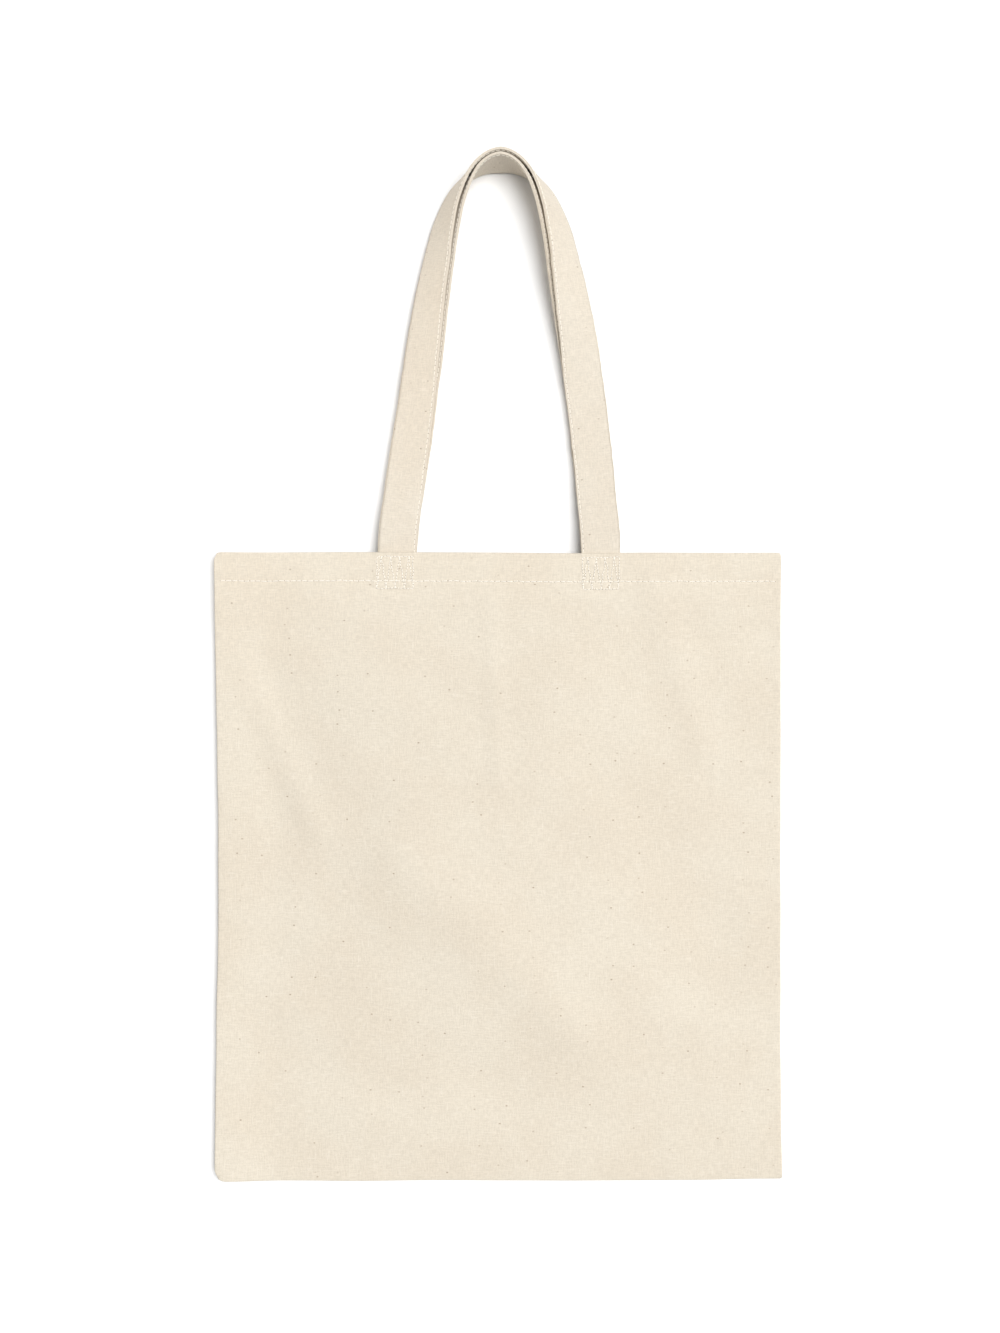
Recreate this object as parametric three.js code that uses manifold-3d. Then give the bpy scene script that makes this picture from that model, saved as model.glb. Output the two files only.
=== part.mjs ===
// Canvas tote bag, lying flat on its back panel with both handles laid out above the mouth.
// Millimetres. +X across the bag, +Y from the bottom seam to the handles, +Z out of the front panel.
// The origin is the middle of the footprint, on the surface that the bag lies on.

import * as THREE from 'three';
import { mergeVertices } from 'three/addons/utils/BufferGeometryUtils.js';
import Module from 'manifold-3d';

const wasm = await Module();
wasm.setup();

// Driving dimensions.
const BAG_WIDTH = 380;
const BAG_HEIGHT = 420;
const HANDLE_RISE = 263; // from the mouth to the top of the loop
const CLOTH = 0.8;
const GAP = 0.3; // between layers that lie on each other
const CROWN = 9; // how far the front panel stands up in its middle
const CROWN_RUN = 189; // from the bottom seam to the full crown
const MOUTH_LIFT = 1.8; // how far the mouth lifts off the surface
const LIFT_FROM = 60; // the lift starts this far below the mouth
const LIFT_TO = 26; // and is complete here
const HEM_DEPTH = 20;
const SEAM_ALLOWANCE = 9;
const STRAP_WIDTH = 25;
const STRAP_THICKNESS = 1.6;
const STRAP_X = 68; // from the middle of the bag to the middle of a strap leg
const STRAP_TUCK = 24; // length of strap sewn inside the hem
const STRAP_NESTING = 4.5; // from one handle's middle surface to the other's, at the top
const STRAP_NESTING_FLAT = 0.2; // and this much more at the mouth
const STRAP_RISE = 3.7; // how far the handles drop from the mouth to the surface
const STRAP_RISE_RUN = 70; // and over what length
const STRAP_TURN_EVEN = 0.2; // share of a strap's quarter turn that is even along it
const STRAP_TURN_POWER = 1.7; // the rest comes on towards the top of the loop
const EDGE_STITCH_INSET = 2;
const BOX_STITCH_WIDTH = 24;
const BOX_STITCH_HEIGHT = 21;
const BOX_STITCH_DROP = 3; // from the mouth to the top of the box
const OVERLOCK_WIDTH = 1.5;
const OVERLOCK_THICKNESS = 1.7;
const THREAD_WIDTH = 0.6;
const THREAD_THICKNESS = 0.3;

// Places that follow from them.
const BOTTOM = -(BAG_HEIGHT + HANDLE_RISE) / 2;
const MOUTH = BOTTOM + BAG_HEIGHT;
const HALF_WIDTH = BAG_WIDTH / 2;
const LAYER = CLOTH + GAP;
const FOLD_RADIUS = LAYER / 2;
const FOLD_REACH = FOLD_RADIUS + CLOTH / 2; // from a fold's centre to its outer face
const SHEET_HALF = HALF_WIDTH - FOLD_REACH;
const FOLD_OVERLAP = 3; // how far a turned edge runs into its panel
const FOLD_CLOTH = CLOTH - 0.04; // a turned edge lies inside the faces of the panel it joins
const BACK_LEVEL = CLOTH / 2; // the back panel's middle surface
const FRONT_LEVEL = BACK_LEVEL + 3 * LAYER; // the front panel's, at the seams
const HEM_STITCH_Y = MOUTH - 19;
const RAW_EDGE = HALF_WIDTH - SEAM_ALLOWANCE;
const TAB_END = MOUTH + 1.9; // where a sewn strap end meets its handle
const HANDLE_START = 2.3; // from the mouth to the first point of a handle

const canvas = { color: '#efe4d2', roughness: 0.95, metalness: 0 };
const webbing = { color: '#f1e6d5', roughness: 0.93, metalness: 0 };
const thread = { color: '#f6eee0', roughness: 0.8, metalness: 0 };
const overlock = { color: '#efe7d8', roughness: 0.9, metalness: 0 };

const bag = new THREE.Group();

function add(name, finish, geometry) {
  const mesh = new THREE.Mesh(geometry, new THREE.MeshStandardMaterial(finish));
  mesh.name = name;
  bag.add(mesh);
  return mesh;
}

const smooth = (low, high, value) => THREE.MathUtils.smoothstep(value, low, high);

const evenly = (from, to, steps) => (
  Array.from({ length: steps + 1 }, (_, i) => from + (to - from) * i / steps)
);

// The mouth lies a little above the surface, on the hem's extra layers.
const lift = (y) => MOUTH_LIFT * smooth(MOUTH - LIFT_FROM, MOUTH - LIFT_TO, y);

// The front panel's crown: none at the side and bottom seams, full in the middle and at the mouth.
function crown(x, y) {
  const side = Math.min(Math.abs(x) / HALF_WIDTH, 1);
  const rise = THREE.MathUtils.clamp((y - BOTTOM) / CROWN_RUN, 0, 1);
  return CROWN * (1 - side ** 2) ** 1.5 * Math.sin(rise * Math.PI / 2);
}

// Where the panels' facets meet: closer together at the sides and in the mouth's lift.
const COLUMNS = evenly(-Math.PI / 2, Math.PI / 2, 16).map((turn) => SHEET_HALF * Math.sin(turn));
const ROWS = [
  ...evenly(BOTTOM + FOLD_REACH, BOTTOM + CROWN_RUN, 8),
  BOTTOM + CROWN_RUN + 80,
  ...evenly(MOUTH - LIFT_FROM, MOUTH - LIFT_TO, 6),
  MOUTH - HEM_DEPTH - GAP,
  MOUTH - FOLD_REACH,
];

const backSheet = (x, y) => BACK_LEVEL + lift(y);
const frontSheet = (x, y) => FRONT_LEVEL + lift(y) + crown(x, y);

// A closed sheet: place(a, b, offset) gives the point for each a in columns and b in rows, on either
// face of a cloth of this thickness.
function bentSheet(columns, rows, thickness, place) {
  const geometry = new THREE.BoxGeometry(1, 1, thickness, columns.length - 1, rows.length - 1, 1);
  const points = geometry.attributes.position;
  const valueAt = (values, share) => values[Math.round((share + 0.5) * (values.length - 1))];
  for (let i = 0; i < points.count; i += 1) {
    const a = valueAt(columns, points.getX(i));
    const b = valueAt(rows, points.getY(i));
    points.setXYZ(i, ...place(a, b, points.getZ(i)));
  }
  return geometry;
}

function toSolid(geometry) {
  const bare = geometry.clone();
  bare.deleteAttribute('normal');
  bare.deleteAttribute('uv');
  const merged = mergeVertices(bare, 1e-4);
  return new wasm.Manifold(new wasm.Mesh({
    numProp: 3,
    vertProperties: new Float32Array(merged.attributes.position.array),
    triVerts: new Uint32Array(merged.index.array),
  }));
}

function join(geometries) {
  const solids = geometries.map(toSolid);
  const mesh = solids.reduce((whole, next) => whole.add(next)).getMesh();
  const geometry = new THREE.BufferGeometry();
  geometry.setAttribute('position', new THREE.BufferAttribute(mesh.vertProperties, 3));
  geometry.setIndex(new THREE.BufferAttribute(mesh.triVerts, 1));
  geometry.computeVertexNormals();
  return geometry;
}

// A turned edge in section: out along the tucked layer, round the fold, and back along the panel.
// distance runs along the middle of the cloth, and offset is across it, towards the outside.
// The result is how far the point lies beyond the fold's centre, and how far above the tucked layer.
function turnedEdge(distance, offset, tuck) {
  const around = Math.PI * FOLD_RADIUS;
  if (distance < tuck) {
    return [distance - tuck, -offset];
  }
  if (distance > tuck + around) {
    return [tuck + around - distance, LAYER + offset];
  }
  const angle = (distance - tuck) / FOLD_RADIUS - Math.PI / 2;
  const radius = FOLD_RADIUS + offset;
  return [radius * Math.cos(angle), FOLD_RADIUS + radius * Math.sin(angle)];
}

function foldStations(tuck) {
  const around = Math.PI * FOLD_RADIUS;
  return [0, ...evenly(tuck, tuck + around, 6), tuck + around + FOLD_OVERLAP];
}

// The turned edges of a panel. The tucked layer lies on the inner side of the sheet: below the front
// panel's (inward is -1) and above the back panel's (inward is 1).
function turnedSide(side, inward, sheet) {
  const tuck = SEAM_ALLOWANCE - FOLD_REACH;
  const rows = ROWS.filter((y) => y < MOUTH - HEM_DEPTH);
  return bentSheet(foldStations(tuck), rows, FOLD_CLOTH, (distance, y, offset) => {
    const [out, up] = turnedEdge(distance, offset, tuck);
    const x = SHEET_HALF + out;
    return [side * x, y, sheet(x, y) + inward * (LAYER - up)];
  });
}

function turnedBottom(inward, sheet) {
  const tuck = SEAM_ALLOWANCE - FOLD_REACH;
  const columns = [-(RAW_EDGE - 0.5), RAW_EDGE - 0.5];
  return bentSheet(foldStations(tuck), columns, FOLD_CLOTH, (distance, x, offset) => {
    const [out, up] = turnedEdge(distance, offset, tuck);
    return [x, ROWS[0] - out, sheet(0, BOTTOM) + inward * (LAYER - up)];
  });
}

function turnedHem(inward, sheet) {
  const tuck = HEM_DEPTH - FOLD_REACH;
  const columns = COLUMNS.map((x) => x * (1 - 0.5 / SHEET_HALF));
  return bentSheet(foldStations(tuck), columns, FOLD_CLOTH, (distance, x, offset) => {
    const [out, up] = turnedEdge(distance, offset, tuck);
    return [x, ROWS.at(-1) + out, sheet(x, MOUTH) + inward * (LAYER - up)];
  });
}

// Mirrored pieces have their faces turned round, so that they still point out.
function flipFaces(geometry) {
  const index = geometry.index.array;
  for (let i = 0; i < index.length; i += 3) {
    [index[i], index[i + 1]] = [index[i + 1], index[i]];
  }
  return geometry;
}

function outward(geometry) {
  const position = geometry.attributes.position;
  const index = geometry.index.array;
  const [a, b, c] = [new THREE.Vector3(), new THREE.Vector3(), new THREE.Vector3()];
  let volume = 0;
  for (let i = 0; i < index.length; i += 3) {
    a.fromBufferAttribute(position, index[i]);
    b.fromBufferAttribute(position, index[i + 1]);
    c.fromBufferAttribute(position, index[i + 2]);
    volume += a.dot(b.cross(c));
  }
  return volume < 0 ? flipFaces(geometry) : geometry;
}

function panel(inward, sheet) {
  const pieces = [
    bentSheet(COLUMNS, ROWS, CLOTH, (x, y, offset) => [x, y, sheet(x, y) + offset]),
    turnedSide(1, inward, sheet),
    turnedSide(-1, inward, sheet),
    turnedBottom(inward, sheet),
    turnedHem(inward, sheet),
  ];
  return join(pieces.map(outward));
}

// The plan of a handle: up the left leg, round the top of the loop and down the right leg.
function handlePlan() {
  const top = HANDLE_RISE - STRAP_THICKNESS / 2 - GAP - THREAD_THICKNESS;
  const shoulder = [44, 186];
  const arch = [[0, top], [35.5, top], [41.1, 198], shoulder];
  const leg = [shoulder, [48.8, 166], [67.5, 45], [STRAP_X, 0]];
  const curve = (points, side) => new THREE.CubicBezierCurve3(
    ...points.map(([x, rise]) => new THREE.Vector3(side * x, MOUTH + rise, 0)),
  );
  const path = new THREE.CurvePath();
  path.add(curve([...leg].reverse(), -1));
  path.add(curve([...arch].reverse(), -1));
  path.add(curve(arch, 1));
  path.add(curve(leg, 1));
  path.arcLengthDivisions = 800;
  return path;
}

const PLAN = handlePlan();
const PLAN_LENGTH = PLAN.getLength();
const UP = new THREE.Vector3(0, 0, 1);

// Where a handle is at a distance along its plan. The strap lies flat at the mouth and turns, more and
// more quickly, until it stands on edge at the top, its inner edge up.
// The back handle lies under the front one along the legs, and inside it at the top.
function handleFrame(distance, isBack) {
  const share = THREE.MathUtils.clamp(distance / PLAN_LENGTH, 0, 1);
  const centre = PLAN.getPointAt(share);
  const along = PLAN.getTangentAt(share);
  const inner = new THREE.Vector3(along.y, -along.x, 0);
  const towardsTop = 1 - Math.abs(2 * share - 1);
  const late = (1 - STRAP_TURN_EVEN) * towardsTop ** STRAP_TURN_POWER;
  const turn = Math.PI / 2 * (STRAP_TURN_EVEN * towardsTop + late);
  const flat = Math.cos(turn);
  const upright = Math.sin(turn);
  const across = inner.clone().multiplyScalar(flat).addScaledVector(UP, upright);
  const face = inner.clone().multiplyScalar(-upright).addScaledVector(UP, flat);
  const nesting = STRAP_NESTING + STRAP_NESTING_FLAT * flat;
  const rise = STRAP_RISE * (1 - smooth(0, STRAP_RISE_RUN, centre.y - MOUTH));
  centre.z = GAP + rise + (STRAP_THICKNESS / 2 + nesting) * flat + STRAP_WIDTH / 2 * upright;
  if (isBack) {
    centre.addScaledVector(face, -nesting);
  }
  return { centre, across, face };
}

// A strip that follows a handle, placed across the strap (inner edge positive) and off its face.
function alongHandle(isBack, width, thickness, acrossAt, faceAt, start) {
  const stations = evenly(start, PLAN_LENGTH - start, 56);
  const edges = [acrossAt - width / 2, acrossAt + width / 2];
  return outward(bentSheet(stations, edges, thickness, (distance, across, offset) => {
    const at = handleFrame(distance, isBack);
    return at.centre.addScaledVector(at.across, across).addScaledVector(at.face, faceAt + offset);
  }));
}

function handle(name, isBack) {
  add(name, webbing, alongHandle(isBack, STRAP_WIDTH, STRAP_THICKNESS, 0, 0, HANDLE_START));
  const edge = STRAP_WIDTH / 2 - EDGE_STITCH_INSET;
  const off = STRAP_THICKNESS / 2 + GAP + THREAD_THICKNESS / 2;
  const row = alongHandle(isBack, THREAD_WIDTH, THREAD_THICKNESS, edge, off, HANDLE_START + 3);
  add(`${name}_edge_stitching`, thread, row);
}

// The end of a strap, sewn flat inside the hem.
function strapEnd(name, side, level) {
  const length = STRAP_TUCK + TAB_END - MOUTH;
  const tab = add(name, webbing, new THREE.BoxGeometry(STRAP_WIDTH, length, STRAP_THICKNESS));
  tab.position.set(side * STRAP_X, TAB_END - length / 2, level);
}

// A row of stitches along the hem, as one thin strip just off the cloth.
function hemStitching(name, levelAt) {
  const columns = COLUMNS.map((x) => x * (1 - 2 / SHEET_HALF));
  const edges = [HEM_STITCH_Y - THREAD_WIDTH / 2, HEM_STITCH_Y + THREAD_WIDTH / 2];
  const place = (x, y, offset) => [x, y, levelAt(x) + offset];
  add(name, thread, bentSheet(columns, edges, THREAD_THICKNESS, place));
}

// The box with a cross in it that holds a strap end.
function boxStitching(name, side, level, tilt) {
  const width = BOX_STITCH_WIDTH;
  const height = BOX_STITCH_HEIGHT;
  const middle = MOUTH - BOX_STITCH_DROP - height / 2;
  const bar = (length, x, y, angle) => {
    const geometry = new THREE.BoxGeometry(length, THREAD_WIDTH, THREAD_THICKNESS);
    return geometry.rotateZ(angle).translate(x, y, 0);
  };
  const diagonal = Math.hypot(width, height);
  const slope = Math.atan2(height, width);
  const bars = [
    bar(width + THREAD_WIDTH, 0, height / 2, 0),
    bar(width + THREAD_WIDTH, 0, -height / 2, 0),
    bar(height, width / 2, 0, Math.PI / 2),
    bar(height, -width / 2, 0, Math.PI / 2),
    bar(diagonal, 0, 0, slope),
    bar(diagonal, 0, 0, -slope),
  ];
  const stitches = add(name, thread, join(bars));
  stitches.position.set(side * STRAP_X, middle, level);
  stitches.rotation.y = tilt;
}

// The overlock that binds the raw edges of a seam, inside the bag.
function sideOverlock(name, side) {
  const low = BOTTOM + SEAM_ALLOWANCE + OVERLOCK_WIDTH + 1;
  const rows = ROWS.filter((y) => y > low && y < MOUTH - HEM_DEPTH);
  const outer = RAW_EDGE - GAP;
  const level = BACK_LEVEL + 1.5 * LAYER;
  const place = (x, y, offset) => [side * x, y, level + lift(y) + offset];
  const strip = bentSheet([outer - OVERLOCK_WIDTH, outer], rows, OVERLOCK_THICKNESS, place);
  add(name, overlock, outward(strip));
}

function bottomOverlock(name) {
  const width = 2 * (RAW_EDGE - OVERLOCK_WIDTH - 1);
  const bar = add(name, overlock, new THREE.BoxGeometry(width, OVERLOCK_WIDTH, OVERLOCK_THICKNESS));
  const y = BOTTOM + SEAM_ALLOWANCE + GAP + OVERLOCK_WIDTH / 2;
  bar.position.set(0, y, BACK_LEVEL + 1.5 * LAYER);
}

add('back_panel', canvas, panel(1, backSheet));
add('front_panel', canvas, panel(-1, frontSheet));
handle('front_handle', false);
handle('back_handle', true);

const strapLevel = (isBack) => handleFrame(0, isBack).centre.z;
const threadOff = CLOTH / 2 + GAP + THREAD_THICKNESS / 2;
const crossOff = threadOff + GAP + THREAD_THICKNESS;
const strapEdges = [STRAP_X - STRAP_WIDTH / 2, STRAP_X + STRAP_WIDTH / 2];
const [innerLevel, outerLevel] = strapEdges.map((x) => frontSheet(x, MOUTH));
const hemSlope = Math.atan((innerLevel - outerLevel) / STRAP_WIDTH);

hemStitching('front_hem_stitching', (x) => frontSheet(x, MOUTH) + threadOff);
hemStitching('back_hem_stitching', (x) => backSheet(x, MOUTH) - threadOff);
for (const [word, side] of [['left', -1], ['right', 1]]) {
  strapEnd(`front_${word}_strap_end`, side, strapLevel(false));
  strapEnd(`back_${word}_strap_end`, side, strapLevel(true));
  const over = frontSheet(STRAP_X, MOUTH) + crossOff;
  const under = backSheet(STRAP_X, MOUTH) - crossOff;
  boxStitching(`front_${word}_box_stitching`, side, over, side * hemSlope);
  boxStitching(`back_${word}_box_stitching`, side, under, 0);
  sideOverlock(`${word}_seam_overlock`, side);
}
bottomOverlock('bottom_seam_overlock');

export default bag;
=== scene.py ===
"""The looks of a canvas tote bag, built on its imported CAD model.

Shapes are worked out in millimetres, in the CAD model's frame, and become metres when a mesh is made.
"""
import math

import bpy
import numpy as np
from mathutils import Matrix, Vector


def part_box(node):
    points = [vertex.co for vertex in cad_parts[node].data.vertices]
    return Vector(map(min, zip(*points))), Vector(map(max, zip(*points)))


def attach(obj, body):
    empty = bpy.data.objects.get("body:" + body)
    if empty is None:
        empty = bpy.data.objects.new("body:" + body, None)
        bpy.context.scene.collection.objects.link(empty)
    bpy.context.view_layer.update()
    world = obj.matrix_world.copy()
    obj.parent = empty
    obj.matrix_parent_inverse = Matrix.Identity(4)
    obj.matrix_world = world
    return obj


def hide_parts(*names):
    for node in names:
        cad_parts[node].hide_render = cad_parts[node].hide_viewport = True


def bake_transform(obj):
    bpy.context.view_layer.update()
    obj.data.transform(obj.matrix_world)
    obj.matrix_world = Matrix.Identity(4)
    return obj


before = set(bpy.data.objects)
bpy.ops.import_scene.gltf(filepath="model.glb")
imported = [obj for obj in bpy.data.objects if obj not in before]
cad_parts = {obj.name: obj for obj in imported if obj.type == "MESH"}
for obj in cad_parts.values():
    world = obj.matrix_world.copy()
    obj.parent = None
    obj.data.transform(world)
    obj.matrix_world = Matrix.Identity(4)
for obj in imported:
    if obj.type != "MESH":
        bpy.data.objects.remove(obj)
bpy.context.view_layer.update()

METRES = 0.001

# The panels, as in the CAD model.
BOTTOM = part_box("front_panel")[0].y / METRES
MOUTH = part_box("front_panel")[1].y / METRES
HALF_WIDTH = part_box("front_panel")[1].x / METRES
CLOTH = 0.8
LAYER = 1.1  # from one layer of cloth to the next
FOLD_RADIUS = LAYER / 2
FOLD_LENGTH = math.pi * FOLD_RADIUS
FOLD_REACH = FOLD_RADIUS + CLOTH / 2
SHEET_HALF = HALF_WIDTH - FOLD_REACH
SHEET_LOW = BOTTOM + FOLD_REACH
SHEET_HIGH = MOUTH - FOLD_REACH
HEM_TUCK = 20 - FOLD_REACH
SEAM_TUCK = 9 - FOLD_REACH
CROWN = 9  # how far the front panel stands up in the middle of the bag
CROWN_RUN = 189  # how far up from the bottom seam it goes on rising
MOUTH_LIFT = 1.8
LEFT_LIFT = 3  # how far the left edge curls up off the surface
BACK_LEVEL = CLOTH / 2
FRONT_LEVEL = BACK_LEVEL + 3 * LAYER
HEM_STITCH_Y = MOUTH - 19

# The straps, a little fuller than in the CAD model.
STRAP_WIDTH = 26
STRAP_THICKNESS = 1.9
STRAP_X = 68
STRAP_TUCK = 24
STRAP_NESTING = 3.4  # between the middles of the two straps where they stand on edge
STRAP_NESTING_FLAT = 1.3  # what is added to it where they lie flat
STRAP_RISE = 3.7  # how much higher a strap lies at the mouth
STRAP_RISE_RUN = 70
STRAP_CLEARANCE = 0.5
HANDLE_TOP = 259.6
HANDLE_SHOULDER = (44, 186)
HANDLE_ARCH = ((0, HANDLE_TOP), (35.5, HANDLE_TOP), (41.1, 198), HANDLE_SHOULDER)
HANDLE_LEG = (HANDLE_SHOULDER, (48.8, 166), (67.5, 45), (STRAP_X, 0))
LEFT_BOW = 3  # how far the left leg bows in towards the middle
HANDLE_LEAN = 1.8  # how far the top of the loop lies to the right of its middle
EDGE_STITCH_AT = STRAP_WIDTH / 2 - 1.4

# Sewing: the length of each kind of stitch and the radius of its thread.
HEM_STITCH = 3.9
HEM_THREAD = 0.37
EDGE_STITCH = 3.4
EDGE_THREAD = 0.27
BOX_STITCH = 2.2
BOX_THREAD = 0.33
OVERLOCK_STITCH = 2.6
OVERLOCK_THREAD = 0.16
# The needle holes are drawn as small discs of painted shade, on the panels and on the boxes.
HOLE_SHADE_RADIUS = 0.21
BOX_HOLE_SHADE_RADIUS = 0.3
HOLE_STRETCH = 1.25  # how much longer a hole's disc of painted shade is along its row
HOLE_ABOVE = 0.05  # how far a hole's disc of painted shade lies above the cloth
BOX_WIDTH = 24
BOX_HEIGHT = 21
BOX_MIDDLE_Y = MOUTH - 3 - BOX_HEIGHT / 2
ZIGZAGS = 8

SIDES = (("left", -1), ("right", 1))


# Shapes


def smooth(low, high, value):
    """0 at low, 1 at high and a smooth step between them."""
    share = np.clip((value - low) / (high - low), 0, 1)
    return share * share * (3 - 2 * share)


def bump(centre, width, value):
    """1 at the centre, falling away smoothly on both sides."""
    return np.exp(-(((value - centre) / width) ** 2))


def ripples(x, y, wavelength, seed, count=7):
    """Smooth seeded unevenness, mostly from -1 to 1, with features about half a wavelength across."""
    rng = np.random.default_rng(seed)
    total = np.zeros(np.broadcast(x, y).shape)
    for _ in range(count):
        angle = rng.uniform(0, math.tau)
        length = wavelength * rng.uniform(0.7, 1.6)
        phase = rng.uniform(0, math.tau)
        total += np.sin(math.tau * (x * math.cos(angle) + y * math.sin(angle)) / length + phase)
    return total / (1.4 * math.sqrt(count))


def from_segment(x, y, a, b):
    """Distance of each point from the line between a and b."""
    along = np.array(b, float) - np.array(a, float)
    share = ((x - a[0]) * along[0] + (y - a[1]) * along[1]) / (along @ along)
    share = np.clip(share, 0, 1)
    return np.hypot(x - a[0] - share * along[0], y - a[1] - share * along[1])


def box_lines(middle_x):
    """The box filled with a zigzag that holds a strap end, as pairs of points."""
    left, right = middle_x - BOX_WIDTH / 2, middle_x + BOX_WIDTH / 2
    low, high = BOX_MIDDLE_Y - BOX_HEIGHT / 2, BOX_MIDDLE_Y + BOX_HEIGHT / 2
    corners = [(left, low), (right, low), (right, high), (left, high)]
    turns = [(x, (low, high)[i % 2]) for i, x in enumerate(np.linspace(left, right, ZIGZAGS + 1))]
    return [(corners[i], corners[(i + 1) % 4]) for i in range(4)] + list(zip(turns, turns[1:]))


def seam_puckers(x, y, seed):
    """Small gathers that run in from the side seams and up from the bottom one."""
    from_side = HALF_WIDTH - np.abs(x)
    from_bottom = y - BOTTOM
    side = np.exp(-from_side / 16) * smooth(0, 5, from_side) * ripples(x * 0.15, y, 15, seed)
    low = np.exp(-from_bottom / 12) * smooth(0, 4, from_bottom) * ripples(x, y * 0.15, 15, seed + 1)
    return 0.5 * side + 0.4 * low


def hem_shape(x, y, seed):
    """The hem puffs a little above its row of stitches, and the cloth gathers along it."""
    below = HEM_STITCH_Y - y
    row = -0.32 * bump(0, 1.1, below)
    puff = 0.22 * bump(-9, 6, below)
    gathers = np.exp(-np.abs(below) / 9) * ripples(x, y * 0.2, 13, seed)
    return row + puff + 0.22 * gathers


def strap_print(x, y):
    """How a sewn strap end shows through the hem: a low plateau, a lip under it and the sunk stitch lines."""
    total = np.zeros(np.broadcast(x, y).shape)
    end = MOUTH - STRAP_TUCK
    for _, side in SIDES:
        middle = side * STRAP_X
        inside = smooth(STRAP_WIDTH / 2 + 2, STRAP_WIDTH / 2 - 1, np.abs(x - middle))
        smile = end - 2.2 + 2.6 * ((x - middle) / 16) ** 2
        total += 0.55 * inside * smooth(end - 3, end + 1, y)
        lip = bump(0, 1.8, y - smile) * bump(0, 14, x - middle)
        total -= 0.5 * lip
        total += 0.3 * bump(0, 4, y - smile + 5) * bump(0, 15, x - middle)
        for a, b in box_lines(middle):
            total -= 0.2 * bump(0, 0.9, from_segment(x, y, a, b))
    return total


def creases(x, y):
    """The few soft folds of a bag that has been packed flat, each along a line, with its width and height."""
    folds = (
        ((-176, 8), (-123, -106), 11, 1.4),
        ((-67, -123), (50, -240), 22, 2.2),
        ((-6, 52), (1, -74), 7, 0.7),
        ((104, 58), (136, -50), 13, 1.3),
        ((-120, -262), (10, -278), 26, -1.1),
        ((70, -60), (150, -190), 28, -1.5),
    )
    return sum(height * bump(0, width, from_segment(x, y, a, b)) for a, b, width, height in folds)


def lift(x, y):
    """How far both panels lie above the surface: a little at the mouth and along the left edge."""
    return MOUTH_LIFT * smooth(MOUTH - 60, MOUTH - 26, y) + LEFT_LIFT * smooth(-145, -HALF_WIDTH, x)


def crown(x, y):
    """How far the front panel stands up off the back one."""
    side = np.minimum(np.abs(x) / HALF_WIDTH, 1)
    rise = np.clip((y - BOTTOM) / CROWN_RUN, 0, 1)
    return CROWN * (1 - side**2) ** 1.5 * np.sin(rise * math.pi / 2)


def front_level(x, y):
    """Height of the middle of the front panel's cloth."""
    inner = smooth(0, 45, HALF_WIDTH - np.abs(x)) * smooth(0, 45, y - BOTTOM)
    broad = 0.9 * ripples(x, y, 150, 11) + 0.35 * ripples(x, y, 52, 12)
    soft = inner * (broad * smooth(MOUTH, MOUTH - 50, y) + creases(x, y))
    sewn = seam_puckers(x, y, 21) + hem_shape(x, y, 31) + strap_print(x, y)
    return FRONT_LEVEL + lift(x, y) + crown(x, y) + soft + sewn


def back_level(x, y):
    """Height of the middle of the back panel's cloth, which never goes below the surface it lies on."""
    inner = smooth(0, 40, HALF_WIDTH - np.abs(x)) * smooth(0, 40, y - BOTTOM)
    soft = inner * 0.3 * np.maximum(ripples(x, y, 70, 13), 0)
    near_mouth = smooth(MOUTH - 60, MOUTH - 26, y)
    return BACK_LEVEL + lift(x, y) + soft - near_mouth * (hem_shape(x, y, 32) + strap_print(x, y))


def outline(x, y):
    """The bag isn't quite a rectangle: its sides draw in, its edges waver and its corners are worn round."""
    left = 1.2 + 2.6 * bump(-141, 125, y) + 0.25 * ripples(0, y, 60, 41)
    right = 1.3 - 1.2 * bump(BOTTOM, 30, y) + 0.25 * ripples(0, y, 70, 42)
    pull = np.where(x < 0, left, -right) * smooth(0.3, 1, np.abs(x) / HALF_WIDTH)
    low = 0.4 + 0.9 * smooth(90, 170, x) + 0.3 * ripples(x, 0, 80, 43)
    high = 0.5 + 0.9 * bump(40, 95, x) + 0.15 * ripples(x, 0, 60, 44)
    up = low * smooth(BOTTOM + 120, BOTTOM, y) - high * smooth(MOUTH - 120, MOUTH, y)
    return round_corners(x + pull, y + up)


def round_corners(x, y):
    """Pulls the cloth in at the corners, the left ones more than the right ones."""
    for side, edge, radius in ((-1, BOTTOM, 9), (-1, MOUTH, 6), (1, BOTTOM, 3), (1, MOUTH, 3)):
        end = 1 if edge == MOUTH else -1
        a = np.clip((side * x - HALF_WIDTH + radius) / radius, 0, None)
        b = np.clip((end * (y - edge) + radius) / radius, 0, None)
        both = np.maximum(np.hypot(a, b), 1e-6)
        pull = np.where((a > 0) & (b > 0), np.maximum(a, b) / both - 1, 0)
        x = x + side * radius * a * pull
        y = y + end * radius * b * pull
    return x, y


# Meshes


def grid_faces(rows, columns, wrap=False):
    """Quads between the points of a grid. With wrap, the last column joins the first."""
    last = columns if wrap else columns - 1
    i, j = np.meshgrid(np.arange(rows - 1), np.arange(last), indexing="ij")
    k = (j + 1) % columns
    quads = [i * columns + j, i * columns + k, (i + 1) * columns + k, (i + 1) * columns + j]
    return np.stack(quads, axis=-1).reshape(-1, 4)


def make_mesh(name, points, faces, cloth_uv, materials, slots=None):
    """A smooth-shaded object from points in millimetres. cloth_uv is each point's place on the flat cloth."""
    mesh = bpy.data.meshes.new(name)
    mesh.from_pydata((np.asarray(points) * METRES).tolist(), [], [list(map(int, face)) for face in faces])
    corners = np.zeros(len(mesh.loops), np.int32)
    mesh.loops.foreach_get("vertex_index", corners)
    layer = mesh.uv_layers.new(name="cloth")
    layer.data.foreach_set("uv", (np.asarray(cloth_uv)[corners] * METRES).ravel())
    for material in materials:
        mesh.materials.append(material)
    if slots is not None:
        mesh.polygons.foreach_set("material_index", slots)
    mesh.shade_smooth()
    obj = bpy.data.objects.new(name, mesh)
    bpy.context.scene.collection.objects.link(obj)
    return obj


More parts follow.
